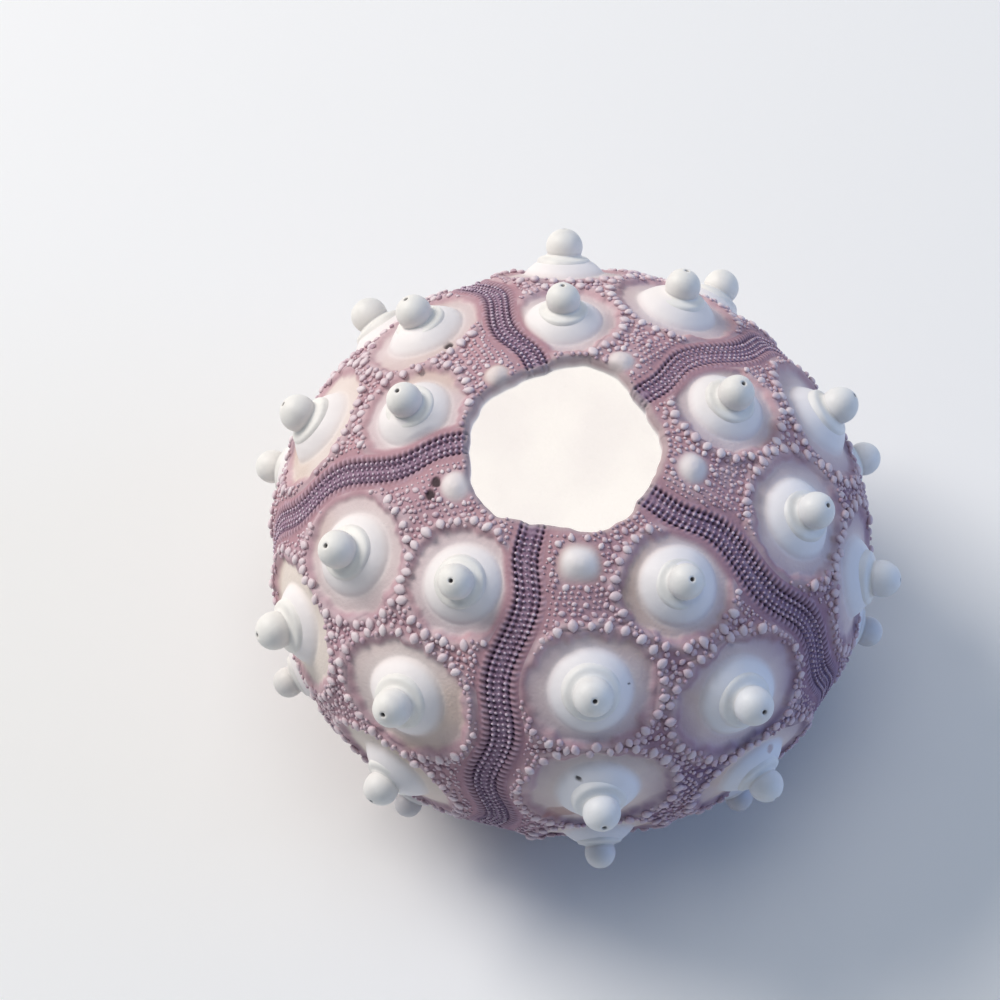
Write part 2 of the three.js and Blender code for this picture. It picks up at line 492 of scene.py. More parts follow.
def turned(profile: Array, sides: int) -> tuple[Array, list[Array]]:
    """Surface of revolution of a profile whose first and last points are on its axis.

    Args:
        profile: (n, 2) radius and height from the root up to the tip.
        sides: steps round.

    Returns:
        Points (poles last) and faces that look outward.
    """
    body = profile[1:-1]
    turn = np.arange(sides) * 2 * np.pi / sides
    ring = np.stack([np.cos(turn), np.sin(turn)], -1)
    circles = body[:, None, :1] * ring[None]
    heights = np.broadcast_to(body[:, 1, None, None], (*circles.shape[:2], 1))
    points = np.concatenate([circles, heights], -1).reshape(-1, 3)
    poles = np.array([[0, 0, profile[0, 1]], [0, 0, profile[-1, 1]]])
    j = np.arange(sides)
    k = (j + 1) % sides
    up = np.arange(len(body) - 1)[:, None] * sides
    sheet = np.stack([up + j, up + k, up + sides + k, up + sides + j], -1).reshape(-1, 4)
    root, tip, last = len(points), len(points) + 1, (len(body) - 1) * sides
    below = np.stack([k, j, np.full(sides, root)], -1)
    above = np.stack([last + j, last + k, np.full(sides, tip)], -1)
    return np.concatenate([points, poles]), [sheet, below, above]


def scatter(shape: Array, faces: list[Array], axes: Array, places: Array) -> tuple[Array, list[Array]]:
    """Copies of one small shape.

    Args:
        shape: (v, 3) points, or (n, v, 3) where each copy has its own.
        faces: the shape's faces.
        axes: (n, 3, 3) rows are each copy's own X, Y and Z, with its scale.
        places: (n, 3) each copy's foot.

    Returns:
        All points (n, v, 3) and all faces.
    """
    subscripts = "vi,nij->nvj" if shape.ndim == 2 else "nvi,nij->nvj"
    points = np.einsum(subscripts, shape, axes) + places[:, None, :]
    step = shape.shape[-2] * np.arange(len(places))[:, None, None]
    return points, [(face[None] + step).reshape(-1, face.shape[-1]) for face in faces]


# ------------------------------------------------------------------ finishes
class Tone:
    """A number socket of a material that can be used in arithmetic."""

    def __init__(self, shader: "Shader", socket: bpy.types.NodeSocket) -> None:
        """Wrap a socket."""
        self.shader = shader
        self.socket = socket

    def _math(self, operation: str, first: Any, second: Any = 0.0) -> "Tone":
        """Add a Math node."""
        node = self.shader.node("ShaderNodeMath", {"operation": operation}, {0: first, 1: second})
        return Tone(self.shader, node.outputs[0])

    def __add__(self, other: Any) -> "Tone":
        """This plus other."""
        return self._math("ADD", self, other)

    def __sub__(self, other: Any) -> "Tone":
        """This minus other."""
        return self._math("SUBTRACT", self, other)

    def __rsub__(self, other: Any) -> "Tone":
        """Other minus this."""
        return self._math("SUBTRACT", other, self)

    def __mul__(self, other: Any) -> "Tone":
        """This times other."""
        return self._math("MULTIPLY", self, other)

    def __pow__(self, other: Any) -> "Tone":
        """This to the power of other."""
        return self._math("POWER", self, other)

    __radd__ = __add__
    __rmul__ = __mul__

    def step(self, low: float, high: float) -> "Tone":
        """Smooth step of this number from 0 at low to 1 at high."""
        node = self.shader.node(
            "ShaderNodeMapRange",
            {"interpolation_type": "SMOOTHSTEP"},
            {"Value": self, "From Min": low, "From Max": high},
        )
        return Tone(self.shader, node.outputs[0])


class Shader:
    """A material under construction."""

    def __init__(self, name: str) -> None:
        """Start an empty material with its Principled shader."""
        self.material = bpy.data.materials.new(name)
        self.material.use_nodes = True
        self.tree = self.material.node_tree
        self.tree.nodes.clear()
        self.surface = self.node("ShaderNodeBsdfPrincipled")
        self.node("ShaderNodeOutputMaterial", inputs={"Surface": self.surface.outputs[0]})
        self.coordinates = self.node("ShaderNodeTexCoord").outputs["Object"]

    def node(
        self, kind: str, settings: dict[str, Any] | None = None, inputs: dict[Any, Any] | None = None
    ) -> bpy.types.Node:
        """Add a node.

        Args:
            kind: the node's type.
            settings: properties, set before anything is plugged in.
            inputs: a value, socket or Tone for each input name or number.

        Returns:
            The node.
        """
        node = self.tree.nodes.new(kind)
        for key, value in (settings or {}).items():
            setattr(node, key, value)
        for key, value in (inputs or {}).items():
            source = value.socket if isinstance(value, Tone) else value
            if isinstance(source, bpy.types.NodeSocket):
                self.tree.links.new(source, node.inputs[key])
            else:
                node.inputs[key].default_value = source
        return node

    def attribute(self, name: str) -> Tone:
        """A number stored on the piece's points."""
        node = self.node("ShaderNodeAttribute", {"attribute_type": "GEOMETRY", "attribute_name": name})
        return Tone(self, node.outputs["Fac"])

    def noise(self, size: float, detail: float = 3.0, shift: float = 0.0) -> Tone:
        """Cloudy noise, 0 to 1, with features of about size mm.

        Args:
            size: feature size in mm.
            detail: octaves.
            shift: slides the pattern, so that two noises differ.

        Returns:
            The noise.
        """
        moved = self.node("ShaderNodeMapping", inputs={"Vector": self.coordinates, "Location": (shift,) * 3})
        inputs = {"Vector": moved.outputs[0], "Scale": 1 / (size * MM), "Detail": detail}
        return Tone(self, self.node("ShaderNodeTexNoise", inputs=inputs).outputs[0])

    def lean(self, direction: tuple[float, float, float]) -> Tone:
        """Distance in metres from the origin along a direction."""
        settings = {"operation": "DOT_PRODUCT"}
        node = self.node("ShaderNodeVectorMath", settings, {0: self.coordinates, 1: direction})
        return Tone(self, node.outputs["Value"])

    def painted_shade_side(self) -> Tone:
        """How far colours are pushed to cooler, purpler ones as painted shade: 0 on one side and the crown,
        1 low on the other side, away from the key lamp.
        """
        return self.lean((0.66, -0.55, -0.5)).step(-0.022, 0.026)

    def base_painted_shade(self, colour: Any) -> bpy.types.NodeSocket:
        """Colour with painted shade: a dusky tint that grows towards the shell's base."""
        low = self.lean((0.0, 0.0, -1.0)).step(-0.024, -0.004)
        return self.mix(low * 0.42, colour, srgb(122, 102, 128))

    def mix(self, amount: Any, first: Any, second: Any) -> bpy.types.NodeSocket:
        """Colour between two colours: first at 0, second at 1."""
        settings = {"data_type": "RGBA", "clamp_factor": True}
        node = self.node("ShaderNodeMix", settings, {0: amount, 6: first, 7: second})
        return node.outputs[2]

    def bump(
        self, height: Tone, depth: float, normal: bpy.types.NodeSocket | None = None
    ) -> bpy.types.NodeSocket:
        """Normal bent by a height of 0 to 1 that stands for depth mm."""
        inputs: dict[Any, Any] = {"Height": height, "Distance": depth * MM, "Strength": 1.0}
        if normal is not None:
            inputs["Normal"] = normal
        return self.node("ShaderNodeBump", inputs=inputs).outputs[0]

    def finish(
        self, colour: Any, roughness: Any, normal: bpy.types.NodeSocket, gloss: float
    ) -> bpy.types.Material:
        """Plug the results into the surface shader.

        Args:
            colour: base colour.
            roughness: roughness.
            normal: bent normal.
            gloss: specular level, the same all over.

        Returns:
            The finished material.
        """
        links = {"Base Color": colour, "Roughness": roughness, "Normal": normal}
        for key, value in links.items():
            source = value.socket if isinstance(value, Tone) else value
            self.tree.links.new(source, self.surface.inputs[key])
        self.surface.inputs["Specular IOR Level"].default_value = gloss
        return self.material


@dataclass(frozen=True)
class InnerWall:
    """Finish of the inner wall: chalky white, with painted light: an emission that stands in for the faint
    light that comes through thin shell.
    """

    chalk: tuple = srgb(234, 232, 230)
    worn: tuple = srgb(226, 223, 223)
    painted_glow: tuple = srgb(255, 253, 249)
    dim_glow: tuple = srgb(249, 246, 243)
    dark: tuple = (0.0, 0.0, 0.0, 1.0)
    strength: float = 0.28

    def add(self, s: Shader, colour: bpy.types.NodeSocket) -> bpy.types.NodeSocket:
        """Colour the part of a material that the "inside" attribute marks, and give it its painted light.

        Args:
            s: material under construction.
            colour: colour of the outside.

        Returns:
            Colour of both sides.
        """
        patches = s.noise(7.0, 2.0, 0.8).step(0.3, 0.75)
        # Painted light: the inside gives off a near-white light of its own; the outside gives none.
        painted_glow = s.mix(s.attribute("inside") ** 6, self.dark, s.mix(patches, self.painted_glow, self.dim_glow))
        s.tree.links.new(painted_glow, s.surface.inputs["Emission Color"])
        s.surface.inputs["Emission Strength"].default_value = self.strength
        return s.mix(s.attribute("inside"), colour, s.mix(patches, self.chalk, self.worn))


@dataclass(frozen=True)
class MeetingColours:
    """Colours that the sectors and the pore bands share where they meet."""

    rose: tuple = srgb(180, 139, 148)
    # Rose of the painted shade side.
    shade_rose: tuple = srgb(134, 107, 136)
    worn: tuple = srgb(182, 172, 172)


@dataclass(frozen=True)
class PlateFinish(MeetingColours):
    """Finish of the sectors: mauve ground, cream dishes and white bosses, with painted shade that cools them
    on one side and darkens them towards the base.
    """

    name: str = "plates"
    pink: tuple = srgb(194, 154, 161)
    # A purple that cloudy patches bring in, and the colour of painted shade on the far side.
    violet_and_shade: tuple = srgb(116, 94, 128)
    deep: tuple = srgb(112, 78, 98)
    dusk: tuple = srgb(192, 162, 170)
    # Dish colour of the painted shade side.
    shade_lilac: tuple = srgb(156, 138, 170)
    ash: tuple = srgb(220, 206, 208)
    cream: tuple = srgb(232, 220, 210)
    warm_white: tuple = srgb(245, 239, 237)
    # Boss white of the painted shade side.
    shade_white: tuple = srgb(224, 230, 244)
    tan: tuple = srgb(200, 172, 148)
    dirt: tuple = srgb(34, 20, 27)
    rust: tuple = srgb(150, 88, 78)

    def make(self) -> bpy.types.Material:
        """Build the material."""
        s = Shader(self.name)
        clouds = s.noise(14.0, 2.0)
        patches = s.noise(3.5, 3.0, 0.3)
        grain = s.noise(0.35, 4.0, 0.7)
        # side is painted shade: away from the key lamp the ground, margins, dishes and bosses turn cooler
        # and the cream thins.
        side = s.painted_shade_side()
        ground = s.mix(side + clouds.step(0.3, 0.7) * 0.4 - 0.2, self.pink, self.violet_and_shade)
        ground = s.mix(patches.step(0.45, 0.75) * 0.35, ground, self.ash)
        ground = s.mix(s.attribute("margin") * 0.8, ground, s.mix(side, self.rose, self.shade_rose))
        ground = s.mix(s.attribute("suture") * 0.7, ground, self.deep)
        ground = s.mix(grain.step(0.55, 0.85) * 0.2, ground, self.deep)
        dusk = s.mix(side, self.dusk, self.shade_lilac)
        dish = s.mix(s.attribute("halo") * 0.8 + patches.step(0.4, 0.8) * 0.3, dusk, self.ash)
        dish = s.mix(s.attribute("pale") * (1.0 - side * 0.7), dish, self.cream)
        dish = s.mix(s.attribute("stain") * clouds.step(0.4, 0.6) * 0.4, dish, self.tan)
        colour = s.mix(s.attribute("dish"), ground, dish)
        colour = s.mix(s.attribute("rim") * 0.35, colour, self.ash)
        colour = s.mix(s.attribute("boss"), colour, s.mix(side, self.warm_white, self.shade_white))
        # Painted shade: duskier towards the base.
        colour = s.base_painted_shade(colour)
        colour = s.mix(s.attribute("worn") * 0.6, colour, self.worn)
        colour = s.mix(s.attribute("rust"), colour, self.rust)
        colour = s.mix(s.attribute("dirt"), colour, self.dirt)
        colour = InnerWall().add(s, colour)
        roughness = 0.62 + grain * 0.2 - s.attribute("boss") * 0.18
        rough_grain = grain * (1.0 - s.attribute("boss") * 0.85)
        normal = s.bump(rough_grain, 0.06)
        normal = s.bump(patches, 0.15, normal)
        return s.finish(colour, roughness, normal, 0.35)


@dataclass(frozen=True)
class BandFinish(MeetingColours):
    """Finish of the pore bands: plum, with dark pores and comb gaps as painted shade, pale ridges, and
    painted shade on one side and towards the base.
    """

    name: str = "pore_bands"
    plum: tuple = srgb(136, 106, 130)
    # Plum of the painted shade side.
    shade_plum: tuple = srgb(108, 88, 122)
    ridge: tuple = srgb(206, 182, 198)
    # Ridge colour of the painted shade side.
    shade_ridge: tuple = srgb(176, 160, 192)
    # Painted shade of the pore holes and of the gaps between comb teeth.
    pore: tuple = srgb(60, 38, 58)

    def make(self) -> bpy.types.Material:
        """Build the material."""
        s = Shader(self.name)
        clouds = s.noise(9.0, 2.0, 0.2)
        grain = s.noise(0.3, 3.0, 0.9)
        flecks = s.noise(0.8, 3.0, 0.6)
        # side is painted shade: plum, rose and ridges turn cooler away from the key lamp.
        side = s.painted_shade_side()
        rose, ridge = s.mix(side, self.rose, self.shade_rose), s.mix(side, self.ridge, self.shade_ridge)
        colour = s.mix(s.attribute("margin"), s.mix(side, self.plum, self.shade_plum), rose)
        colour = s.mix(clouds.step(0.4, 0.7) * 0.3, colour, rose)
        colour = s.mix(flecks.step(0.45, 0.75) * 0.4, colour, ridge)
        colour = s.mix(s.attribute("ridge") * 0.8, colour, ridge)
        # Painted shade: dark pores and comb gaps, and duskier towards the base.
        colour = s.base_painted_shade(s.mix(s.attribute("pore"), colour, self.pore))
        colour = s.mix(s.attribute("worn") * 0.6, colour, self.worn)
        colour = InnerWall().add(s, colour)
        normal = s.bump(grain, 0.04)
        return s.finish(colour, 0.6 + grain * 0.2, normal, 0.35)


@dataclass(frozen=True)
class HeadFinish:
    """Finish of the tubercles' heads: smooth white, with painted shade in the pit at the tip, at the neck,
    on one side and towards the base.
    """

    name: str = "tubercles"
    white: tuple = srgb(241, 238, 232)
    # White of the painted shade side.
    shade_white: tuple = srgb(224, 229, 237)
    # Grey of the random patches, and of the painted shade at the neck.
    shade: tuple = srgb(210, 206, 204)
    # Painted shade of the pit.
    pit: tuple = srgb(84, 78, 78)

    def make(self) -> bpy.types.Material:
        """Build the material."""
        s = Shader(self.name)
        patches = s.noise(2.2, 3.0, 0.5)
        grain = s.noise(0.22, 3.0, 0.1)
        # Painted shade: bluish white away from the key lamp.
        colour = s.mix(s.painted_shade_side(), self.white, self.shade_white)
        colour = s.mix(patches.step(0.45, 0.8) * 0.35, colour, self.shade)
        # Painted shade at the neck, under the head.
        colour = s.mix(s.attribute("neck_shade") * 0.6, colour, self.shade)
        # Painted shade in the pit, and duskier towards the base.
        colour = s.mix(s.attribute("pit"), s.base_painted_shade(colour), self.pit)
        normal = s.bump(grain, 0.015)
        normal = s.bump(patches, 0.06, normal)
        return s.finish(colour, 0.42 + patches * 0.15, normal, 0.45)


@dataclass(frozen=True)
class GrainFinish:
    """Finish of knobs, granules and beads: pale, each with its own tone, darker at the foot as painted
    shade, and with painted shade on one side and towards the base.
    """

    name: str
    pale: tuple
    tinted: tuple
    # Colour of the painted shade at each foot.
    foot: tuple
    # Tint of the painted shade side.
    cool: tuple = srgb(150, 130, 168)

    def make(self) -> bpy.types.Material:
        """Build the material."""
        s = Shader(self.name)
        grain = s.noise(0.25, 2.0, 0.4)
        colour = s.mix(s.attribute("tone"), self.pale, self.tinted)
        # Painted shade: cooler away from the key lamp, darker at each foot and towards the base.
        colour = s.mix(s.painted_shade_side() * 0.5, colour, self.cool)
        colour = s.base_painted_shade(s.mix(s.attribute("foot") * 0.7, colour, self.foot))
        normal = s.bump(grain, 0.02)
        return s.finish(colour, 0.4 + grain * 0.2, normal, 0.45)


GRAIN_FINISHES = (
    GrainFinish("ring_knobs", srgb(236, 222, 224), srgb(214, 188, 196), srgb(178, 142, 156)),
    GrainFinish("granules", srgb(226, 206, 210), srgb(196, 166, 178), srgb(158, 120, 138)),
    GrainFinish("beads", srgb(222, 204, 216), srgb(184, 156, 178), srgb(112, 82, 106)),
)


# ------------------------------------------------------------------ wall
class Mark(Enum):
    """What a spot on the ground is; the value is the attribute that it paints."""

    DIRT = "dirt"
    RUST = "rust"


@dataclass(frozen=True)
class Blemish:
    """A spot of dirt or rust: its place, half width and half height in mm, and kind."""

    t: float
    azimuth: float
    width: float
    height: float
    kind: Mark


@dataclass
class Sectors:
    """The five wide sectors of the wall: plates with dishes and bosses, closed to solids."""

    pattern: Pattern
    rows: int = 448
    columns: int = 184
    coarsening: int = 8
    edge_level: float = -0.12
    dish_width: float = 4.5
    dish_widening: float = 3.15
    dish_height: float = 5.95
    dish_depth: float = 0.42
    pleats: int = 24
    pleat_depth: float = 0.014
    knob_width: float = 2.9
    knob_height: float = 2.7
    boss_radius: float = 4.55
    boss_rise: float = 1.75
    boss_power: float = 2.5
    knob_rise: float = 0.95
    rim_rise: float = 0.26
    seam_depth: float = 0.14
    speck_depth: float = 0.2
    sway_height: float = 0.12
    sway_length: float = 9.0
    seam_width: float = 0.13
    zigzag: float = 0.09
    blemishes: tuple[Blemish, ...] = (
        Blemish(24.2, 194.7, 0.6, 0.55, Mark.DIRT),
        Blemish(26.1, 198.6, 0.62, 0.55, Mark.DIRT),
        Blemish(35.7, 131.0, 0.5, 0.6, Mark.DIRT),
        Blemish(71.6, 271.2, 0.5, 0.3, Mark.DIRT),
        Blemish(48.4, 283.8, 0.16, 0.16, Mark.DIRT),
        Blemish(87.0, 309.8, 0.5, 0.35, Mark.RUST),
        Blemish(87.3, 268.9, 2.2, 0.9, Mark.RUST),
    )

    def offsets(self, t: Array, azimuth: Array, place: Any) -> tuple[Array, Array]:
        """Distance east and south of a place, along the surface, in mm."""
        body = self.pattern.body
        radius = 0.5 * (body.curve(t)[0] + body.curve(np.array(place.t))[0])
        turn = (azimuth - place.azimuth + 180.0) % 360.0 - 180.0
        return radius * np.radians(turn), body.arc(t) - body.arc(np.array(place.t))

    def dish_axes(self, tubercle: Tubercle) -> tuple[float, float]:
        """Half width and half height of a tubercle's oval dish: wider where the shell is wider."""
        if tubercle.knob:
            return self.knob_width * tubercle.size, self.knob_height * tubercle.size
        body = self.pattern.body
        girth = float(body.curve(np.array(tubercle.t))[0]) / body.girth_radius
        width = self.dish_width + self.dish_widening * girth
        return tubercle.size * width, tubercle.size * self.dish_height

    def seams(self, sector: int, t: Array, azimuth: Array, width: Array) -> Array:
        """Grooves between plates: a zigzag down the middle and a level seam between dishes.

        Args:
            sector: sector number.
            t: polar angles.
            azimuth: azimuths.
            width: half width of the sector at each point, in mm.

        Returns:
            0 to 1, 1 in a groove's bottom.
        """
        pattern, body = self.pattern, self.pattern.body
        middle = pattern.middle(sector)
        t0, azimuth0 = pattern.grown(t, np.full_like(t, middle))
        from_middle = body.curve(t)[0] * np.radians(azimuth - azimuth0)
        nominal = t - (t0 - t)
        phase = np.interp(nominal, pattern.turns(), np.arange(len(pattern.turns())))
        zigzag = self.zigzag * width * (2 * np.abs(2 * ((phase / 2 + 0.25) % 1.0) - 1) - 1)
        groove = bell(from_middle - zigzag, self.seam_width) * 0.7
        arc = body.arc(nominal)
        for side, rows in pattern.rows.items():
            angles = np.array([row for row, _ in rows])
            if side is Side.CLOCKWISE:
                angles = np.concatenate([[pattern.knob_angle], angles])
            lines = body.arc(0.5 * (angles[1:] + angles[:-1]))
            here = side.value * (from_middle - zigzag) > 0
            near = np.min(np.abs(arc[..., None] - lines), axis=-1)
            groove = np.maximum(groove, bell(near, self.seam_width) * here)
        return groove

    def relief(self, sector: int, t: Array, azimuth: Array, edge: Array, width: Array) -> dict[str, Array]:
        """Height of the outside above the body curve, and the masks that colour it.

        A dish is -depth inside its oval. A boss is rise (1 - rho^power), rho being the distance
        from its middle over its radius. A rim is a bell just outside the oval. A dark speck is a
        shallow pit. All but the specks fades to the pore band's level at the sector's edges.

        Args:
            sector: sector number.
            t: polar angles.
            azimuth: azimuths.
            edge: distance from the nearer pore band, in mm.
            width: half width of the sector, in mm.

        Returns:
            "height" in mm and the masks by name.
        """
        names = ("dish", "boss", "halo", "pale", "rim", "rise", "depth")
        out = {name: np.zeros_like(t) for name in names}
        ragged = 0.03 * Ripple(11, 3.2).at(self.pattern.body.point(t, azimuth))
        for tubercle in self.pattern.tubercles(sector):
            east, south = self.offsets(t, azimuth, tubercle)
            across, along = self.dish_axes(tubercle)
            oval = np.hypot(east / across, south / along) + ragged
            found = self.knob(tubercle, oval) if tubercle.knob else self.areole(tubercle, oval, east, south)
            for name, value in found.items():
                out[name] = np.maximum(out[name], value)
        dish, rim = out["dish"], out["rim"]
        seam = self.seams(sector, t, azimuth, width) * (1 - dish)
        height = self.rim_rise * rim * (1 - dish) - out["depth"] + out["rise"] - self.seam_depth * seam
        fade = smooth(0.0, 1.1, edge)
        spots = self.spots(t, azimuth)
        masks = {
            "height": self.edge_level * (1 - fade) + height * fade - self.speck_depth * spots["dirt"],
            "dish": dish * smooth(0.1, 0.9, edge),
            "boss": out["boss"] * fade,
            "halo": out["halo"] * fade,
            "pale": out["pale"],
            "rim": rim * (1 - dish),
            "suture": seam * fade,
            "margin": smooth(1.6, 0.0, edge),
        }
        return masks | spots

    def areole(self, tubercle: Tubercle, oval: Array, east: Array, south: Array) -> dict[str, Array]:
        """Shape and masks of one tubercle's dish, rim and boss."""
        size = tubercle.size
        pleat = np.cos(self.pleats * np.arctan2(south, east) + 40 * tubercle.azimuth)
        inside = smooth(1.05, 0.9, oval + self.pleat_depth * bell(oval - 1.0, 0.13) * pleat)
        rho = np.hypot(east, south) / (self.boss_radius * size)
        paleness = smooth(50.0, 95.0, np.array(tubercle.t + 18 * np.cos(np.radians(tubercle.azimuth - 170))))
        return {
            "dish": inside,
            "depth": inside * size * self.dish_depth * (0.7 + 0.3 * np.minimum(oval, 1.2) ** 2),
            "rim": size * (1 + 0.16 * pleat) * bell(oval - 1.12, 0.09),
            "rise": self.boss_rise * size * np.clip(1 - rho**self.boss_power, 0, 1),
            "boss": smooth(1.12, 0.84, rho),
            "halo": smooth(1.75, 0.9, rho),
            "pale": inside * (0.15 + 0.85 * paleness),
        }

    def knob(self, tubercle: Tubercle, oval: Array) -> dict[str, Array]:
        """Shape and masks of a sector's low first knob: a soft swelling with a pale halo."""
        size = tubercle.size
        return {
            "rise": self.knob_rise * size * smooth(0.95, 0.1, oval),
            "boss": (0.25 + 0.75 * size**2) * smooth(0.9, 0.45, oval),
            "dish": 0.75 * smooth(1.15, 0.6, oval),
            "halo": smooth(1.3, 0.6, oval),
            "pale": 0.5 * smooth(1.1, 0.5, oval),
        }

    def spots(self, t: Array, azimuth: Array) -> dict[str, Array]:
        """Masks of dirt and rust spots, and of the broad stained patches."""
        place = self.pattern.body.point(t, azimuth)
        wobble = 0.25 * Ripple(41, 1.2).at(place)
        masks = {mark.value: np.zeros_like(t) for mark in Mark}
        for spot in self.blemishes:
            east, south = self.offsets(t, azimuth, spot)
            reach = np.hypot(east / spot.width, south / spot.height) + wobble
            strength = 0.9 if spot.kind is Mark.DIRT else 0.45
            near = np.abs(east) + np.abs(south) < 4 * (spot.width + spot.height)
            mask = strength * smooth(1.15, 0.75, reach) * near
            masks[spot.kind.value] = np.maximum(masks[spot.kind.value], mask)
        masks["stain"] = smooth(0.1, 1.0, Ripple(43, 22.0).at(place))
        return masks

    def ground(self, sector: int, t: Array, azimuth: Array, edge: Array, width: Array) -> dict[str, Array]:
        """Relief with the shell's slow sway added to its height, gone on the resting ring."""
        out = self.relief(sector, t, azimuth, edge, width)
        sway = self.sway_height * Ripple(5, self.sway_length).at(self.pattern.body.point(t, azimuth))
        out["height"] = (out["height"] + sway * smooth(0.0, 3.0, edge)) * self.pattern.body.rest_fade(t)
        return out

    def grid(self, sector: int) -> tuple[Array, Array, Array, Array, Array]:
        """Grid of one sector, from the apical edge down and from band to band.

        Args:
            sector: sector number.

        Returns:
            Share, polar angle, azimuth, distance from the nearer band and half width of the sector.
        """
        pattern = self.pattern
        down, along = np.linspace(0, 1, self.rows + 1), np.linspace(0, 1, self.columns + 1)
        share, part = np.meshgrid(down, along, indexing="ij")
        start = pattern.band_azimuth(sector - 1, share, np.ones_like(share))
        stop = pattern.band_azimuth(sector, share, -np.ones_like(share))
        t, azimuth = pattern.lay(share, start + (stop - start) * part)
        span = np.radians(stop - start) * pattern.body.curve(t)[0]
        return share, t, azimuth, np.minimum(part, 1 - part) * span, span / 2

    def build(self, sector: int, material: bpy.types.Material) -> bpy.types.Object:
        """Make one sector's solid."""
        body = self.pattern.body
        share, t, azimuth, edge, width = self.grid(sector)
        masks = self.ground(sector, t, azimuth, edge, width)
        outer = body.point(t, azimuth, masks.pop("height") - body.edge_round(share))
        inner = body.inner_face(t, azimuth, self.coarsening)
        parts = MeshParts()
        slab(parts, outer, inner, worn=body.worn(share), **masks)
        return parts.build(f"sector_{sector + 1}", material)


@dataclass
class PoreBands:
    """The five sinuous pore bands: pore pairs, cross ridges and a comb along both margins."""

    pattern: Pattern
    edge_level: float = -0.12
    pitch: float = 0.64
    rows: int = 896
    columns: int = 48
    coarsening: int = 16
    inner_pore: float = 0.57
    outer_pore: float = 1.2
    pore_depth: float = 0.32
    groove_depth: float = 0.25
    lag: float = 1.6
    drift: float = 0.5
    drift_length: float = 1.7

    def phase(self, t: Array, across: Array) -> Array:
        """Angle along the row of pores: 2 pi arc / pitch + a slow drift, one side lagging the other."""
        arc = self.pattern.body.arc(t)
        lag = np.where(across > 0, self.lag, 0.0)
        return 2 * np.pi * arc / self.pitch + lag + self.drift * np.sin(arc / self.drift_length)

    def crests(self, across: float) -> Array:
        """Lengths along the body curve of the ridge crests on one side, from the top down."""
        body = self.pattern.body
        low, high = body.arc(np.array([body.edge_angle, body.ring_angle - 2.0])) / self.pitch
        lag = self.lag if across > 0 else 0.0
        arc = (np.arange(np.ceil(low) + 1, high - 1) - lag / (2 * np.pi)) * self.pitch
        return arc - self.drift * np.sin(arc / self.drift_length) * self.pitch / (2 * np.pi)

    def relief(self, t: Array, across: Array) -> dict[str, Array]:
        """Height and masks at places across a band.

        Ridges are the crests of (1 + cos phase) / 2. Pores are pits of bell shape in the troughs,
        in two columns on each side.

        Args:
            t: polar angles.
            across: -1 to 1.

        Returns:
            "height" in mm and the masks by name.
        """
        crest = 0.5 + 0.5 * np.cos(self.phase(t, across))
        half = self.pattern.band_half_width(t)
        side = np.abs(across) * half
        inner = bell(side - self.inner_pore, 0.17)
        outer = bell(side - self.outer_pore, 0.13)
        pore = (1 - crest) ** 1.2 * np.maximum(0.6 * inner, outer)
        knot = bell(side - 0.5 * (self.inner_pore + self.outer_pore), 0.17) * crest
        margin = smooth(self.outer_pore, self.outer_pore + 0.3, side)
        fade = smooth(half, half - 0.6, side)
        comb = margin * fade * crest
        furrow = smooth(self.outer_pore + 0.75, self.outer_pore - 0.3, side) * fade
        height = self.edge_level - self.groove_depth * furrow - self.pore_depth * pore
        height += 0.12 * knot + 0.14 * comb + 0.06 * crest * furrow
        middle = bell(side, self.inner_pore * 0.55)
        ridge = 0.9 * knot + 0.5 * comb * fade + 0.35 * crest * middle
        comb_gap = margin * fade**2 * (1 - crest)
        return {
            "height": height,
            # Painted shade: the pore holes and the gaps between comb teeth are painted dark.
            "pore": np.clip(pore * 1.25 + 0.6 * comb_gap, 0, 1),
            "ridge": np.clip(ridge, 0, 1),
            "margin": margin,
        }

    def build(self, band: int, material: bpy.types.Material) -> bpy.types.Object:
        """Make one band's solid."""
        pattern, body = self.pattern, self.pattern.body
        down, over = np.linspace(0, 1, self.rows + 1), np.linspace(-1, 1, self.columns + 1)
        share, across = np.meshgrid(down, over, indexing="ij")
        t, azimuth = pattern.lay(share, pattern.band_azimuth(band, share, across))
        masks = self.relief(t, across)
        height = masks.pop("height") * body.rest_fade(t) - body.edge_round(share)
        inner = body.inner_face(t, azimuth, self.coarsening)
        parts = MeshParts()
        slab(parts, body.point(t, azimuth, height), inner, worn=body.worn(share), **masks)
        return parts.build(f"pore_band_{band + 1}", material)


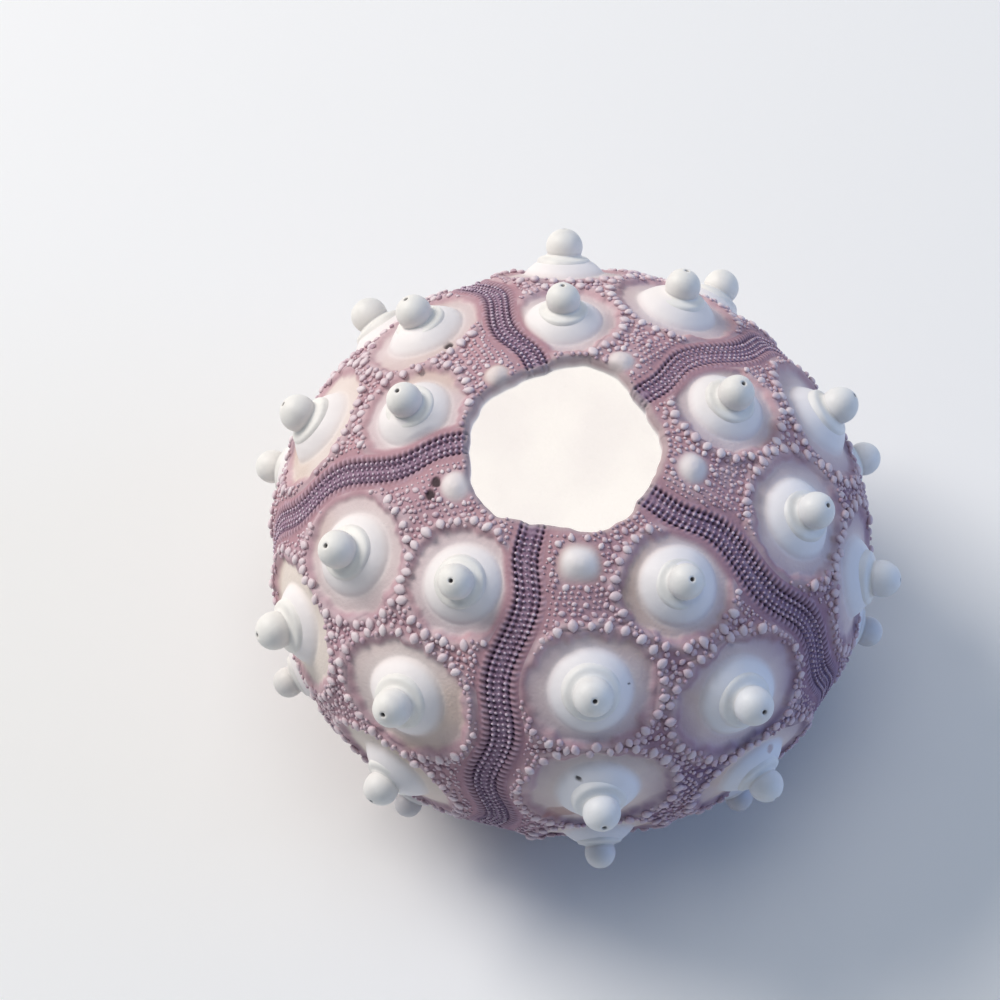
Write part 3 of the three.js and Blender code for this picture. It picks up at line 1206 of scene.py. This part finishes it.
# ------------------------------------------------------------------ tubercles and grains
@dataclass
class Tubercles:
    """The turned tops of the tubercles: platform, neck and round head with a pit at its tip."""

    pattern: Pattern
    sides: int = 48
    head_radius: float = 2.02
    head_height: float = 2.4
    neck_radius: float = 1.81
    platform: tuple[tuple[float, float], ...] = (
        (3.1, 0.3), (2.96, 0.74), (2.87, 0.96), (2.76, 1.1), (2.6, 1.19), (2.42, 1.25),
        (2.2, 1.31), (2.02, 1.39), (1.9, 1.49), (1.83, 1.6), (1.8, 1.7),
    )  # fmt: skip
    pit_radius: float = 0.3
    pit_depth: float = 0.4
    lumps: float = 0.006
    tilt: float = 0.035

    def head_profile(self) -> tuple[Array, Array, Array]:
        """Profile of a full-size tubercle with its masks of painted shade at the neck and in the pit."""
        low = np.pi - np.arcsin(self.neck_radius / self.head_radius)
        high = np.arcsin(self.pit_radius / self.head_radius)
        angle = np.linspace(low, high, 18)
        head = self.head_radius * np.stack([np.sin(angle), np.cos(angle)], -1) + [0, self.head_height]
        top = head[-1, 1]
        radius, depth = self.pit_radius, self.pit_depth
        pit_wall = [[radius * 0.8, top - 0.08], [radius * 0.6, top - depth], [0, top - depth * 1.1]]
        profile = np.concatenate([[[0, -0.3]], self.platform, head, pit_wall])
        # Painted shade at the neck, under the head.
        neck_shade = bell(profile[:, 1] - 1.62, 0.14) * (profile[:, 0] < 2.0)
        pit = np.zeros(len(profile))
        # Painted shade of the pit: part at its lip, full inside.
        pit[-3:] = (0.45, 1.0, 1.0)
        return profile, neck_shade, pit

    def axes(self, tubercle: Tubercle, rng: np.random.Generator) -> tuple[Array, Array]:
        """Foot and slightly tilted axes of a tubercle."""
        angles = np.array(tubercle.t), np.array(tubercle.azimuth)
        place, normal, east, south = self.pattern.body.frames(*angles)
        tilt = rng.normal(0, self.tilt, 2)
        up = normal + east * tilt[0] + south * tilt[1]
        up /= np.linalg.norm(up)
        first = np.cross(south, up)
        first /= np.linalg.norm(first)
        return place, np.stack([first, np.cross(up, first), up]) * (1 + rng.normal(0, 0.015))

    def build(self, sector: int, material: bpy.types.Material) -> bpy.types.Object:
        """Make all the tubercle tops of one sector."""
        rng = np.random.default_rng(200 + sector)
        profile, neck_shade, pit = self.head_profile()
        parts = MeshParts()
        rows = np.repeat(np.arange(1, len(profile) - 1), self.sides)
        rows = np.concatenate([rows, [0, len(profile) - 1]])
        for tubercle in self.pattern.tubercles(sector)[:-1]:
            place, axes = self.axes(tubercle, rng)
            points, faces = turned(profile * tubercle.size, self.sides)
            lumps = Ripple(300 + sector, 4.0).at(points + place) * self.lumps
            points = points * (1 + lumps[:, None] * (points[:, 2:] > 0.2))
            parts.add(points @ axes + place, faces, neck_shade=neck_shade[rows], pit=pit[rows])
        return parts.build(f"tubercles_{sector + 1}", material, sharp=80.0)


def bead(sides: int, levels: tuple[float, ...]) -> tuple[Array, list[Array]]:
    """Unit bead of a few dozen faces: radius sqrt(1 - h^2) at each level h from root to tip."""
    h = np.array([-1.0, *levels, 1.0])
    return turned(np.stack([np.sqrt(1 - h * h), h], -1), sides)


@dataclass
class Grains:
    """The knobs round every dish and the fine granules between them."""

    pattern: Pattern
    plates: Sectors
    knob_gap: float = 1.95
    filler_gap: float = 1.12
    granule_gap: float = 0.64
    sector_half_width: float = 15.0
    reach: float = 21.0
    last_grain: float = 155.5
    knob_faces: ClassVar[tuple[int, tuple[float, ...]]] = (10, (-0.45, 0.25, 0.7, 0.93))
    granule_faces: ClassVar[tuple[int, tuple[float, ...]]] = (6, (0.0, 0.72))

    def ovals(self, sector: int, t: Array, azimuth: Array) -> Array:
        """How far each place is from each dish's middle, 1 being the dish's edge."""
        out = []
        for tubercle in self.pattern.tubercles(sector):
            east, south = self.plates.offsets(t, azimuth, tubercle)
            across, along = self.plates.dish_axes(tubercle)
            out.append(np.hypot(east / across, south / along))
        return np.stack(out, -1)

    def edge_distance(self, sector: int, t: Array, azimuth: Array) -> Array:
        """Distance in mm from the nearer pore band; negative inside a band."""
        body = self.pattern.body
        out = []
        for band, side in ((sector - 1, 1.0), (sector, -1.0)):
            edge = self.pattern.band_azimuth(band, body.share(t), np.full_like(t, side))
            _, edge = self.pattern.grown(t, edge)
            out.append(side * np.radians(azimuth - edge) * body.curve(t)[0])
        return np.minimum(*out)

    def knob_places(self, sector: int, rng: np.random.Generator) -> dict[str, Array]:
        """Ring knobs: evenly spaced round each oval, left out where another dish is in the way."""
        body = self.pattern.body
        rows: list[tuple[float, ...]] = []
        for tubercle in self.pattern.tubercles(sector):
            across, along = self.plates.dish_axes(tubercle)
            out = 1.1 if tubercle.knob else 1.14
            around = np.pi * (across + along) * out
            count = int(round(around / (self.knob_gap * (0.4 + 0.6 * tubercle.size))))
            turn = (np.arange(count) + rng.uniform(-0.1, 0.1, count) + rng.uniform()) * 2 * np.pi / count
            reach = out + rng.normal(0, 0.012, count)
            east, south = across * reach * np.cos(turn), along * reach * np.sin(turn)
            arc = body.arc(np.array(tubercle.t)) + south
            t = body.angle_at(arc)
            radius = 0.5 * (body.curve(t)[0] + body.curve(np.array(tubercle.t))[0])
            azimuth = tubercle.azimuth + np.degrees(east / radius)
            size = (0.31 + 0.2 * tubercle.size) * rng.uniform(0.88, 1.12, count)
            if tubercle.knob:
                size *= 0.7
            tone = 0.55 * rng.uniform(0, 1, count)
            rows += zip(t, azimuth, size, np.arctan2(south, east), tone, strict=True)
        rows += self.filler_places(sector, rng)
        t, azimuth, size, bearing, tone = np.array(rows).T
        ovals = self.ovals(sector, t, azimuth)
        edge = self.edge_distance(sector, t, azimuth)
        rim = body.arc(t) - body.arc(body.apical_angle(azimuth))
        keep = (ovals.min(-1) > 1.0) & (edge > 0.45) & (rim > 0.5) & (t < 151)
        keep &= self.clean(t, azimuth)
        size = size * np.where(edge < 1.2, 0.75, 1.0)
        place = body.point(t, azimuth)
        for i in range(len(t)):
            if keep[i]:
                close = np.linalg.norm(place[i + 1 :] - place[i], axis=1) < 0.85 * (size[i + 1 :] + size[i])
                keep[i + 1 :] &= ~close
        found = {"t": t, "azimuth": azimuth, "size": size, "bearing": bearing, "tone": tone}
        return {key: value[keep] for key, value in found.items()}

    def lattice(
        self, sector: int, gap: float, jitter: float, rng: np.random.Generator
    ) -> tuple[Array, Array]:
        """Jittered staggered lattice over one sector.

        Args:
            sector: sector number.
            gap: spacing in mm.
            jitter: scatter as a share of the spacing.
            rng: source of the scatter.

        Returns:
            Polar angles and azimuths.
        """
        body = self.pattern.body
        start, stop = body.arc(np.array([body.edge_angle, self.last_grain]))
        arcs = np.arange(start + 0.2, stop, gap * 0.92)
        arc, x = np.meshgrid(arcs, np.arange(-self.reach, self.reach, gap), indexing="ij")
        x = x + np.where(np.arange(len(arcs)) % 2, 0.5 * gap, 0.0)[:, None]
        arc = (arc + rng.normal(0, jitter, arc.shape) * gap).ravel()
        x = (x + rng.normal(0, jitter, x.shape) * gap).ravel()
        t = body.angle_at(arc)
        _, middle = self.pattern.grown(t, np.full_like(t, self.pattern.middle(sector)))
        return t, middle + np.degrees(x / body.curve(t)[0])

    def filler_places(self, sector: int, rng: np.random.Generator) -> list[tuple[float, ...]]:
        """Middle-sized knobs between the rings: angles, size, bearing and tone of each."""
        t, azimuth = self.lattice(sector, self.filler_gap, 0.16, rng)
        near = self.ovals(sector, t, azimuth)[:, :-1].min(-1)
        chance = smooth(1.75, 1.3, near) + 0.25 * smooth(60.0, 90.0, t)
        keep = (near > 1.1) & (rng.uniform(0, 1, len(t)) < chance)
        size, bearing = rng.uniform(0.23, 0.36, len(t)), rng.uniform(0, np.pi, len(t))
        tone = rng.uniform(0.5, 1.0, len(t))
        return list(zip(t[keep], azimuth[keep], size[keep], bearing[keep], tone[keep], strict=True))

    def granule_places(
        self, sector: int, knobs: dict[str, Array], rng: np.random.Generator
    ) -> dict[str, Array]:
        """Granules: jittered level rows over all ground that no dish, knob or band takes."""
        body = self.pattern.body
        t, azimuth = self.lattice(sector, self.granule_gap, 0.08, rng)
        ovals = self.ovals(sector, t, azimuth)
        edge = self.edge_distance(sector, t, azimuth)
        rim = body.arc(t) - body.arc(body.apical_angle(azimuth))
        keep = (ovals[:, :-1].min(-1) > 1.05) & (ovals[:, -1] > 0.95) & (edge > 0.2) & (rim > 0.25)
        keep &= self.clean(t, azimuth)
        t, azimuth = t[keep], azimuth[keep]
        size = np.exp(rng.normal(0, 0.2, len(t))) * np.where(edge[keep] < 1.0, 0.17, 0.215)
        size *= 1 + 0.35 * smooth(1.45, 1.1, ovals[keep][:, :-1].min(-1))
        place = body.point(t, azimuth)
        centres = body.point(knobs["t"], knobs["azimuth"])
        gap = np.linalg.norm(place[:, None] - centres[None], axis=-1) - knobs["size"]
        clear = gap.min(-1) > 0.7 * size
        return {"t": t[clear], "azimuth": azimuth[clear], "size": size[clear]}

    def clean(self, t: Array, azimuth: Array) -> Array:
        """Where the ground is free of dirt: no grain is left in a dark speck."""
        return self.plates.spots(t, azimuth)["dirt"] < 0.3

    def heights(self, sector: int, t: Array, azimuth: Array) -> Array:
        """Height of the ground at each place."""
        edge = self.edge_distance(sector, t, azimuth)
        width = np.full_like(t, self.sector_half_width)
        return self.plates.ground(sector, t, azimuth, edge, width)["height"]

    def axes(self, t: Array, azimuth: Array, turn: Array, size: Array) -> Array:
        """Scaled axes of beads that stand on the ground, turned about its normal.

        Args:
            t: polar angles.
            azimuth: azimuths.
            turn: radians from east towards south.
            size: (n, 3) half sizes along the turned east, the turned south and the normal.

        Returns:
            (n, 3, 3) axes.
        """
        _, normal, east, south = self.pattern.body.frames(t, azimuth)
        c, s = np.cos(turn)[:, None], np.sin(turn)[:, None]
        first, second = east * c + south * s, np.cross(normal, east * c + south * s)
        return np.stack([first, second, normal], 1) * size[..., None]

    def build(self, sector: int, knob_finish: bpy.types.Material, finish: bpy.types.Material) -> None:
        """Make one sector's ring knobs and granules."""
        rng = np.random.default_rng(400 + sector)
        knobs = self.knob_places(sector, rng)
        granules = self.granule_places(sector, knobs, rng)
        log.info("sector %d: %d ring knobs, %d granules", sector + 1, len(knobs["t"]), len(granules["t"]))
        self.ring_knobs(sector, knobs, rng, knob_finish)
        self.granules(sector, granules, rng, finish)

    def ring_knobs(
        self, sector: int, at: dict[str, Array], rng: np.random.Generator, material: bpy.types.Material
    ) -> None:
        """Flattened, squarish knobs, each pointing away from its dish."""
        count = len(at["t"])
        shape, faces = bead(*self.knob_faces)
        turn = np.arctan2(shape[:, 1], shape[:, 0])[None]
        square = 1 + 0.07 * np.cos(4 * turn) + rng.normal(0, 0.05, (count, 1)) * np.cos(3 * turn + 1)
        own = shape[None] * np.stack([square, square, np.ones_like(square)], -1)
        long, wide = rng.uniform(1.1, 1.4, count), rng.uniform(0.9, 1.08, count)
        size = at["size"][:, None] * np.stack([long, wide, rng.uniform(0.55, 0.75, count)], -1)
        axes = self.axes(at["t"], at["azimuth"], at["bearing"] + rng.normal(0, 0.2, count), size)
        ground = self.heights(sector, at["t"], at["azimuth"])
        feet = self.pattern.body.point(at["t"], at["azimuth"], ground + 0.12 * at["size"])
        parts = MeshParts()
        parts.sow((own, faces), axes, feet, at["tone"], (0.6, -0.1))
        parts.build(f"ring_knobs_{sector + 1}", material)

    def granules(
        self, sector: int, at: dict[str, Array], rng: np.random.Generator, material: bpy.types.Material
    ) -> None:
        """Small round granules."""
        count = len(at["t"])
        size = at["size"][:, None] * rng.uniform((0.9, 0.9, 0.7), (1.15, 1.15, 1.0), (count, 3))
        axes = self.axes(at["t"], at["azimuth"], rng.uniform(0, np.pi, count), size)
        ground = self.heights(sector, at["t"], at["azimuth"])
        feet = self.pattern.body.point(at["t"], at["azimuth"], ground + 0.1 * at["size"])
        parts = MeshParts()
        parts.sow(bead(*self.granule_faces), axes, feet, rng.uniform(0, 1, count), (0.5, -0.3))
        parts.build(f"granules_{sector + 1}", material)


@dataclass
class BandBeads:
    """Two rows of pale beads down each pore band, and a finer pair in its middle."""

    pattern: Pattern
    bands: PoreBands
    columns: tuple[tuple[float, float], ...] = ((-0.27, 0.16), (0.27, 0.16), (-0.88, 0.19), (0.88, 0.19))
    bead_scale: ClassVar[Array] = np.array([1.1, 0.95, 0.85])
    bead_faces: ClassVar[tuple[int, tuple[float, ...]]] = (6, (0.0, 0.72))

    def build(self, band: int, grains: Grains, material: bpy.types.Material) -> None:
        """Make one band's beads: one on each ridge crest of each column."""
        pattern, body = self.pattern, self.pattern.body
        rng = np.random.default_rng(600 + band)
        parts = MeshParts()
        for across, size in self.columns:
            arc = self.bands.crests(across)
            t = body.angle_at(arc)
            side = (across + rng.normal(0, 0.02, len(t))) / pattern.band_half_width(t)
            _, azimuth = pattern.grown(t, pattern.band_azimuth(band, body.share(t), side))
            keep = arc - body.arc(body.apical_angle(azimuth)) > 0.25
            t, azimuth, side = t[keep], azimuth[keep], side[keep]
            wide = size * rng.uniform(0.85, 1.15, len(t))
            feet = body.point(t, azimuth, self.bands.relief(t, side)["height"] + 0.25 * wide)
            axes = grains.axes(t, azimuth, rng.normal(0, 0.2, len(t)), wide[:, None] * self.bead_scale)
            parts.sow(bead(*self.bead_faces), axes, feet, rng.uniform(0, 1, len(t)), (0.5, -0.3))
        parts.build(f"band_beads_{band + 1}", material)


# ------------------------------------------------------------------ studio
@dataclass(frozen=True)
class Lamp:
    """A soft rectangular lamp that looks at the shell."""

    name: str
    place: tuple[float, float, float]
    size: float
    power: float
    colour: tuple[float, float, float]


@dataclass
class Studio:
    """Pale floor, soft light and the camera."""

    body: Body
    elevation: float = 62.34
    distance: float = 322.5
    lens: float = 104.0
    turn_left: float = 1.369
    turn_up: float = 0.899
    roll: float = -0.39
    sky: tuple = (0.66, 0.81, 1.0, 1.0)
    sky_strength: float = 0.23
    floor_reach: float = 3.0
    lamps: tuple[Lamp, ...] = (
        Lamp("key", (-0.62, 0.42, 0.66), 0.45, 7.7, (1.0, 0.945, 0.895)),
        Lamp("fill", (0.8, 0.0, 0.3), 0.5, 1.7, (0.28, 0.5, 1.0)),
        Lamp("top", (0.0, 0.1, 1.0), 0.6, 1.75, (1.0, 1.0, 1.0)),
    )

    def floor(self) -> None:
        """Lay a pale floor at the shell's resting plane."""
        mesh = bpy.data.meshes.new("floor")
        reach = self.floor_reach
        corners = [(-reach, -reach, 0), (reach, -reach, 0), (reach, reach, 0), (-reach, reach, 0)]
        mesh.from_pydata(corners, [], [(0, 1, 2, 3)])
        shader = Shader("floor")
        grain = shader.noise(4.0)
        shader.finish(
            shader.mix(grain * 0.04, srgb(252, 251, 248), srgb(247, 246, 244)),
            0.9 + grain * 0.05,
            shader.bump(grain, 0.01),
            0.1,
        )
        mesh.materials.append(shader.material)
        floor = bpy.data.objects.new("floor", mesh)
        bpy.context.scene.collection.objects.link(floor)

    def light(self) -> None:
        """Hang the lamps round the shell and set an even pale sky."""
        target = Vector((0, 0, self.body.girth_height * MM))
        for lamp in self.lamps:
            data = bpy.data.lights.new(lamp.name, "AREA")
            data.shape, data.size = "SQUARE", lamp.size
            data.energy, data.color = lamp.power, lamp.colour
            thing = bpy.data.objects.new(lamp.name, data)
            thing.location = lamp.place
            thing.rotation_euler = (target - thing.location).to_track_quat("-Z", "Y").to_euler()
            bpy.context.scene.collection.objects.link(thing)
        world = bpy.data.worlds.new("sky")
        world.use_nodes = True
        back = world.node_tree.nodes["Background"]
        back.inputs["Color"].default_value = self.sky
        back.inputs["Strength"].default_value = self.sky_strength
        bpy.context.scene.world = world

    def camera(self) -> None:
        """Set the camera: it looks down along +Y and is turned a little left of and above the shell."""
        rise = np.radians(self.elevation)
        centre = Vector((0, 0, self.body.girth_height * MM))
        place = centre + Vector((0, -np.cos(rise), np.sin(rise))) * self.distance * MM
        data = bpy.data.cameras.new("camera")
        data.lens, data.sensor_width = self.lens, 36.0
        data.clip_start, data.clip_end = 0.01, 20.0
        camera = bpy.data.objects.new("camera", data)
        turn = (centre - place).to_track_quat("-Z", "Y").to_matrix().to_4x4()
        for angle, axis in ((self.turn_left, "Y"), (self.turn_up, "X"), (self.roll, "Z")):
            turn = turn @ Matrix.Rotation(np.radians(angle), 4, axis)
        camera.matrix_world = Matrix.Translation(place) @ turn
        bpy.context.scene.collection.objects.link(camera)
        bpy.context.scene.camera = camera
        bpy.context.scene.view_settings.view_transform = "Standard"


def main() -> None:
    """Build every piece in order, then the studio."""
    logging.basicConfig(level=logging.INFO, format="%(name)s %(message)s")
    pattern = Pattern()
    plates, bands = Sectors(pattern), PoreBands(pattern)
    tubercles, grains = Tubercles(pattern), Grains(pattern, plates)
    beads = BandBeads(pattern, bands)
    plate_finish, band_finish, head_finish = PlateFinish().make(), BandFinish().make(), HeadFinish().make()
    knob_finish, granule_finish, bead_finish = [finish.make() for finish in GRAIN_FINISHES]
    for k in range(pattern.sectors):
        plates.build(k, plate_finish)
        bands.build(k, band_finish)
        tubercles.build(k, head_finish)
        grains.build(k, knob_finish, granule_finish)
        beads.build(k, grains, bead_finish)
    studio = Studio(pattern.body)
    studio.floor()
    studio.light()
    studio.camera()


if __name__ == "__main__":
    main()
